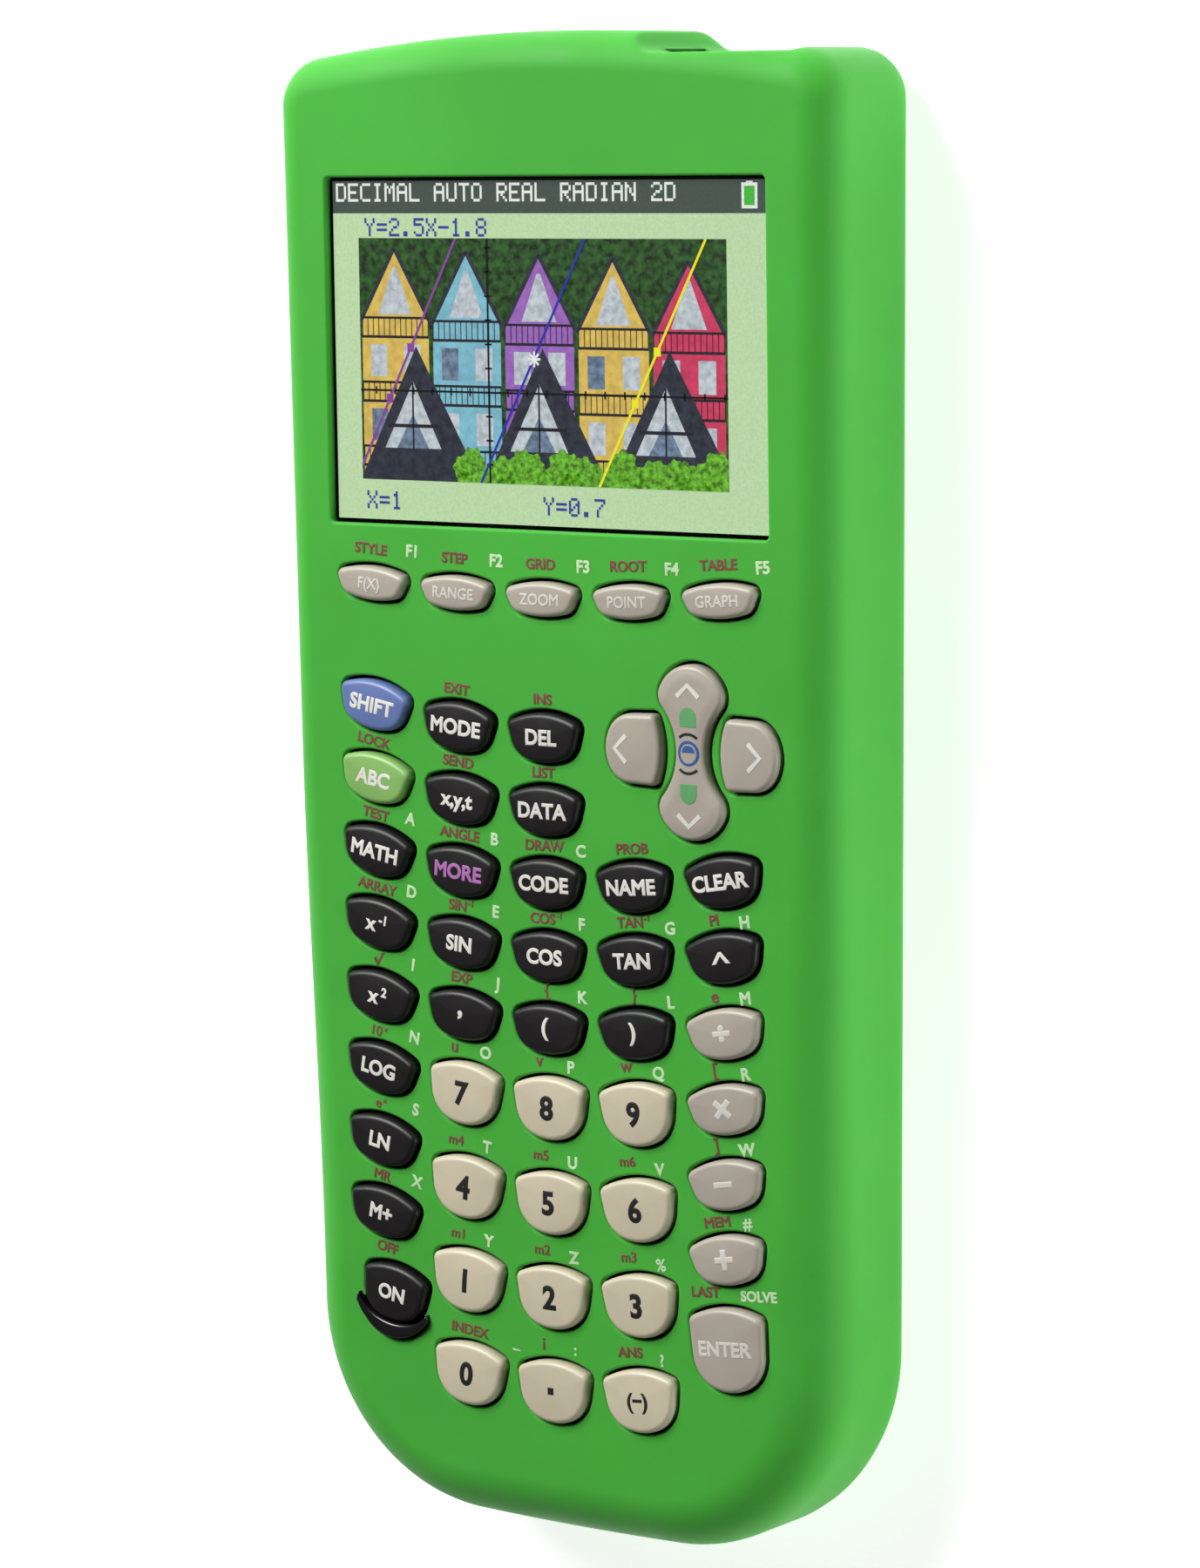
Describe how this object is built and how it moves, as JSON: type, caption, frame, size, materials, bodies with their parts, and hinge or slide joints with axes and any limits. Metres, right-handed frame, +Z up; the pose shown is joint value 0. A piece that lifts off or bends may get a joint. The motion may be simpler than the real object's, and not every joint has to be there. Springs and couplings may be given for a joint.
{
  "type": "graphing calculator in a silicone sleeve",
  "caption": "Handheld graphing calculator with a colour display, curved rows of keys, an arrow pad and a battery door, held in a soft one-piece silicone sleeve.",
  "frame": {"origin": "centre of the footprint, on the surface that the calculator lies on", "axes": "+X to the right across the keys, +Y from the ENTER key towards the display and the port end, +Z up out of the keys"},
  "size_m": [0.0888, 0.196, 0.0222],
  "materials": {
    "sleeve_silicone": "soft satin silicone",
    "case_plastic": "fine matte texture",
    "key_black": "satin",
    "key_grey": "satin",
    "key_ivory": "satin",
    "key_blue": "satin",
    "key_green": "satin",
    "sleeve_print": "printed ink",
    "window_clear": "clear, polished",
    "display_panel": "glossy panel",
    "mat_rubber": "matte",
    "circuit_board": "solder mask",
    "battery_wrap": "foil wrap",
    "screw_steel": "zinc plated",
    "connector_steel": "plated sheet and black moulding"
  },
  "bodies": {
    "root": {"silicone_sleeve": "sleeve_silicone", "front_case": "case_plastic", "rear_case": "case_plastic", "display_window": "window_clear", "lcd_module": "display_panel", "keypad_mat": "mat_rubber", "main_board": "circuit_board", "battery_pack": "battery_wrap", "case_screws": "screw_steel", "port_connectors": "connector_steel"},
    "battery_cover": {"battery_cover": "case_plastic"},
    "arrow_rocker": {"arrow_rocker": "key_grey"},
    "arrow_left": {"arrow_left": "key_grey"},
    "arrow_right": {"arrow_right": "key_grey"},
    "key_0": {"key_0": "key_ivory"},
    "key_1": {"key_1": "key_ivory"},
    "key_2": {"key_2": "key_ivory"},
    "key_3": {"key_3": "key_ivory"},
    "key_4": {"key_4": "key_ivory"},
    "key_5": {"key_5": "key_ivory"},
    "key_6": {"key_6": "key_ivory"},
    "key_7": {"key_7": "key_ivory"},
    "key_8": {"key_8": "key_ivory"},
    "key_9": {"key_9": "key_ivory"},
    "key_alpha": {"key_alpha": "key_green"},
    "key_apps": {"key_apps": "key_black"},
    "key_clear": {"key_clear": "key_black"},
    "key_close_paren": {"key_close_paren": "key_black"},
    "key_comma": {"key_comma": "key_black"},
    "key_cosine": {"key_cosine": "key_black"},
    "key_delete": {"key_delete": "key_black"},
    "key_divide": {"key_divide": "key_grey"},
    "key_enter": {"key_enter": "key_grey"},
    "key_equation": {"key_equation": "key_grey"},
    "key_graph": {"key_graph": "key_grey"},
    "key_inverse": {"key_inverse": "key_black"},
    "key_ln": {"key_ln": "key_black"},
    "key_log": {"key_log": "key_black"},
    "key_math": {"key_math": "key_black"},
    "key_minus": {"key_minus": "key_grey"},
    "key_mode": {"key_mode": "key_black"},
    "key_multiply": {"key_multiply": "key_grey"},
    "key_negative": {"key_negative": "key_ivory"},
    "key_on": {"key_on": "key_black"},
    "key_open_paren": {"key_open_paren": "key_black"},
    "key_plus": {"key_plus": "key_grey"},
    "key_point": {"key_point": "key_ivory"},
    "key_power": {"key_power": "key_black"},
    "key_program": {"key_program": "key_black"},
    "key_second": {"key_second": "key_blue"},
    "key_sine": {"key_sine": "key_black"},
    "key_square": {"key_square": "key_black"},
    "key_stat": {"key_stat": "key_black"},
    "key_store": {"key_store": "key_black"},
    "key_tangent": {"key_tangent": "key_black"},
    "key_trace": {"key_trace": "key_grey"},
    "key_variable": {"key_variable": "key_black"},
    "key_vars": {"key_vars": "key_black"},
    "key_window": {"key_window": "key_grey"},
    "key_zoom": {"key_zoom": "key_grey"}
  },
  "joints": [
    {"name": "arrow_left_press", "type": "slide", "parent": "root", "child": "arrow_left", "axis": [0, 0, -1], "range_m": [0, 0.001], "stiffness_N_per_m": 500, "deforming": ["keypad_mat"]},
    {"name": "arrow_right_press", "type": "slide", "parent": "root", "child": "arrow_right", "axis": [0, 0, -1], "range_m": [0, 0.001], "stiffness_N_per_m": 500, "deforming": ["keypad_mat"]},
    {"name": "key_0_press", "type": "slide", "parent": "root", "child": "key_0", "axis": [0, 0, -1], "range_m": [0, 0.001], "stiffness_N_per_m": 500, "deforming": ["keypad_mat"]},
    {"name": "key_1_press", "type": "slide", "parent": "root", "child": "key_1", "axis": [0, 0, -1], "range_m": [0, 0.001], "stiffness_N_per_m": 500, "deforming": ["keypad_mat"]},
    {"name": "key_2_press", "type": "slide", "parent": "root", "child": "key_2", "axis": [0, 0, -1], "range_m": [0, 0.001], "stiffness_N_per_m": 500, "deforming": ["keypad_mat"]},
    {"name": "key_3_press", "type": "slide", "parent": "root", "child": "key_3", "axis": [0, 0, -1], "range_m": [0, 0.001], "stiffness_N_per_m": 500, "deforming": ["keypad_mat"]},
    {"name": "key_4_press", "type": "slide", "parent": "root", "child": "key_4", "axis": [0, 0, -1], "range_m": [0, 0.001], "stiffness_N_per_m": 500, "deforming": ["keypad_mat"]},
    {"name": "key_5_press", "type": "slide", "parent": "root", "child": "key_5", "axis": [0, 0, -1], "range_m": [0, 0.001], "stiffness_N_per_m": 500, "deforming": ["keypad_mat"]},
    {"name": "key_6_press", "type": "slide", "parent": "root", "child": "key_6", "axis": [0, 0, -1], "range_m": [0, 0.001], "stiffness_N_per_m": 500, "deforming": ["keypad_mat"]},
    {"name": "key_7_press", "type": "slide", "parent": "root", "child": "key_7", "axis": [0, 0, -1], "range_m": [0, 0.001], "stiffness_N_per_m": 500, "deforming": ["keypad_mat"]},
    {"name": "key_8_press", "type": "slide", "parent": "root", "child": "key_8", "axis": [0, 0, -1], "range_m": [0, 0.001], "stiffness_N_per_m": 500, "deforming": ["keypad_mat"]},
    {"name": "key_9_press", "type": "slide", "parent": "root", "child": "key_9", "axis": [0, 0, -1], "range_m": [0, 0.001], "stiffness_N_per_m": 500, "deforming": ["keypad_mat"]},
    {"name": "key_alpha_press", "type": "slide", "parent": "root", "child": "key_alpha", "axis": [0, 0, -1], "range_m": [0, 0.001], "stiffness_N_per_m": 500, "deforming": ["keypad_mat"]},
    {"name": "key_apps_press", "type": "slide", "parent": "root", "child": "key_apps", "axis": [0, 0, -1], "range_m": [0, 0.001], "stiffness_N_per_m": 500, "deforming": ["keypad_mat"]},
    {"name": "key_clear_press", "type": "slide", "parent": "root", "child": "key_clear", "axis": [0, 0, -1], "range_m": [0, 0.001], "stiffness_N_per_m": 500, "deforming": ["keypad_mat"]},
    {"name": "key_close_paren_press", "type": "slide", "parent": "root", "child": "key_close_paren", "axis": [0, 0, -1], "range_m": [0, 0.001], "stiffness_N_per_m": 500, "deforming": ["keypad_mat"]},
    {"name": "key_comma_press", "type": "slide", "parent": "root", "child": "key_comma", "axis": [0, 0, -1], "range_m": [0, 0.001], "stiffness_N_per_m": 500, "deforming": ["keypad_mat"]},
    {"name": "key_cosine_press", "type": "slide", "parent": "root", "child": "key_cosine", "axis": [0, 0, -1], "range_m": [0, 0.001], "stiffness_N_per_m": 500, "deforming": ["keypad_mat"]},
    {"name": "key_delete_press", "type": "slide", "parent": "root", "child": "key_delete", "axis": [0, 0, -1], "range_m": [0, 0.001], "stiffness_N_per_m": 500, "deforming": ["keypad_mat"]},
    {"name": "key_divide_press", "type": "slide", "parent": "root", "child": "key_divide", "axis": [0, 0, -1], "range_m": [0, 0.001], "stiffness_N_per_m": 500, "deforming": ["keypad_mat"]},
    {"name": "key_enter_press", "type": "slide", "parent": "root", "child": "key_enter", "axis": [0, 0, -1], "range_m": [0, 0.001], "stiffness_N_per_m": 500, "deforming": ["keypad_mat"]},
    {"name": "key_equation_press", "type": "slide", "parent": "root", "child": "key_equation", "axis": [0, 0, -1], "range_m": [0, 0.001], "stiffness_N_per_m": 500, "deforming": ["keypad_mat"]},
    {"name": "key_graph_press", "type": "slide", "parent": "root", "child": "key_graph", "axis": [0, 0, -1], "range_m": [0, 0.001], "stiffness_N_per_m": 500, "deforming": ["keypad_mat"]},
    {"name": "key_inverse_press", "type": "slide", "parent": "root", "child": "key_inverse", "axis": [0, 0, -1], "range_m": [0, 0.001], "stiffness_N_per_m": 500, "deforming": ["keypad_mat"]},
    {"name": "key_ln_press", "type": "slide", "parent": "root", "child": "key_ln", "axis": [0, 0, -1], "range_m": [0, 0.001], "stiffness_N_per_m": 500, "deforming": ["keypad_mat"]},
    {"name": "key_log_press", "type": "slide", "parent": "root", "child": "key_log", "axis": [0, 0, -1], "range_m": [0, 0.001], "stiffness_N_per_m": 500, "deforming": ["keypad_mat"]},
    {"name": "key_math_press", "type": "slide", "parent": "root", "child": "key_math", "axis": [0, 0, -1], "range_m": [0, 0.001], "stiffness_N_per_m": 500, "deforming": ["keypad_mat"]},
    {"name": "key_minus_press", "type": "slide", "parent": "root", "child": "key_minus", "axis": [0, 0, -1], "range_m": [0, 0.001], "stiffness_N_per_m": 500, "deforming": ["keypad_mat"]},
    {"name": "key_mode_press", "type": "slide", "parent": "root", "child": "key_mode", "axis": [0, 0, -1], "range_m": [0, 0.001], "stiffness_N_per_m": 500, "deforming": ["keypad_mat"]},
    {"name": "key_multiply_press", "type": "slide", "parent": "root", "child": "key_multiply", "axis": [0, 0, -1], "range_m": [0, 0.001], "stiffness_N_per_m": 500, "deforming": ["keypad_mat"]},
    {"name": "key_negative_press", "type": "slide", "parent": "root", "child": "key_negative", "axis": [0, 0, -1], "range_m": [0, 0.001], "stiffness_N_per_m": 500, "deforming": ["keypad_mat"]},
    {"name": "key_on_press", "type": "slide", "parent": "root", "child": "key_on", "axis": [0, 0, -1], "range_m": [0, 0.001], "stiffness_N_per_m": 500, "deforming": ["keypad_mat"]},
    {"name": "key_open_paren_press", "type": "slide", "parent": "root", "child": "key_open_paren", "axis": [0, 0, -1], "range_m": [0, 0.001], "stiffness_N_per_m": 500, "deforming": ["keypad_mat"]},
    {"name": "key_plus_press", "type": "slide", "parent": "root", "child": "key_plus", "axis": [0, 0, -1], "range_m": [0, 0.001], "stiffness_N_per_m": 500, "deforming": ["keypad_mat"]},
    {"name": "key_point_press", "type": "slide", "parent": "root", "child": "key_point", "axis": [0, 0, -1], "range_m": [0, 0.001], "stiffness_N_per_m": 500, "deforming": ["keypad_mat"]},
    {"name": "key_power_press", "type": "slide", "parent": "root", "child": "key_power", "axis": [0, 0, -1], "range_m": [0, 0.001], "stiffness_N_per_m": 500, "deforming": ["keypad_mat"]},
    {"name": "key_program_press", "type": "slide", "parent": "root", "child": "key_program", "axis": [0, 0, -1], "range_m": [0, 0.001], "stiffness_N_per_m": 500, "deforming": ["keypad_mat"]},
    {"name": "key_second_press", "type": "slide", "parent": "root", "child": "key_second", "axis": [0, 0, -1], "range_m": [0, 0.001], "stiffness_N_per_m": 500, "deforming": ["keypad_mat"]},
    {"name": "key_sine_press", "type": "slide", "parent": "root", "child": "key_sine", "axis": [0, 0, -1], "range_m": [0, 0.001], "stiffness_N_per_m": 500, "deforming": ["keypad_mat"]},
    {"name": "key_square_press", "type": "slide", "parent": "root", "child": "key_square", "axis": [0, 0, -1], "range_m": [0, 0.001], "stiffness_N_per_m": 500, "deforming": ["keypad_mat"]},
    {"name": "key_stat_press", "type": "slide", "parent": "root", "child": "key_stat", "axis": [0, 0, -1], "range_m": [0, 0.001], "stiffness_N_per_m": 500, "deforming": ["keypad_mat"]},
    {"name": "key_store_press", "type": "slide", "parent": "root", "child": "key_store", "axis": [0, 0, -1], "range_m": [0, 0.001], "stiffness_N_per_m": 500, "deforming": ["keypad_mat"]},
    {"name": "key_tangent_press", "type": "slide", "parent": "root", "child": "key_tangent", "axis": [0, 0, -1], "range_m": [0, 0.001], "stiffness_N_per_m": 500, "deforming": ["keypad_mat"]},
    {"name": "key_trace_press", "type": "slide", "parent": "root", "child": "key_trace", "axis": [0, 0, -1], "range_m": [0, 0.001], "stiffness_N_per_m": 500, "deforming": ["keypad_mat"]},
    {"name": "key_variable_press", "type": "slide", "parent": "root", "child": "key_variable", "axis": [0, 0, -1], "range_m": [0, 0.001], "stiffness_N_per_m": 500, "deforming": ["keypad_mat"]},
    {"name": "key_vars_press", "type": "slide", "parent": "root", "child": "key_vars", "axis": [0, 0, -1], "range_m": [0, 0.001], "stiffness_N_per_m": 500, "deforming": ["keypad_mat"]},
    {"name": "key_window_press", "type": "slide", "parent": "root", "child": "key_window", "axis": [0, 0, -1], "range_m": [0, 0.001], "stiffness_N_per_m": 500, "deforming": ["keypad_mat"]},
    {"name": "key_zoom_press", "type": "slide", "parent": "root", "child": "key_zoom", "axis": [0, 0, -1], "range_m": [0, 0.001], "stiffness_N_per_m": 500, "deforming": ["keypad_mat"]},
    {"name": "arrow_rocker_tilt", "type": "hinge", "parent": "root", "child": "arrow_rocker", "pos_m": [0.0233, 0.00719, 0.0172], "axis": [1, 0, 0], "range_deg": [-4.5, 4.5], "stiffness_Nm_per_rad": 0.05, "deforming": ["keypad_mat"]},
    {"name": "battery_cover_lift", "type": "slide", "parent": "root", "child": "battery_cover", "axis": [0, 0, -1], "range_m": [0, 0.015]}
  ]
}
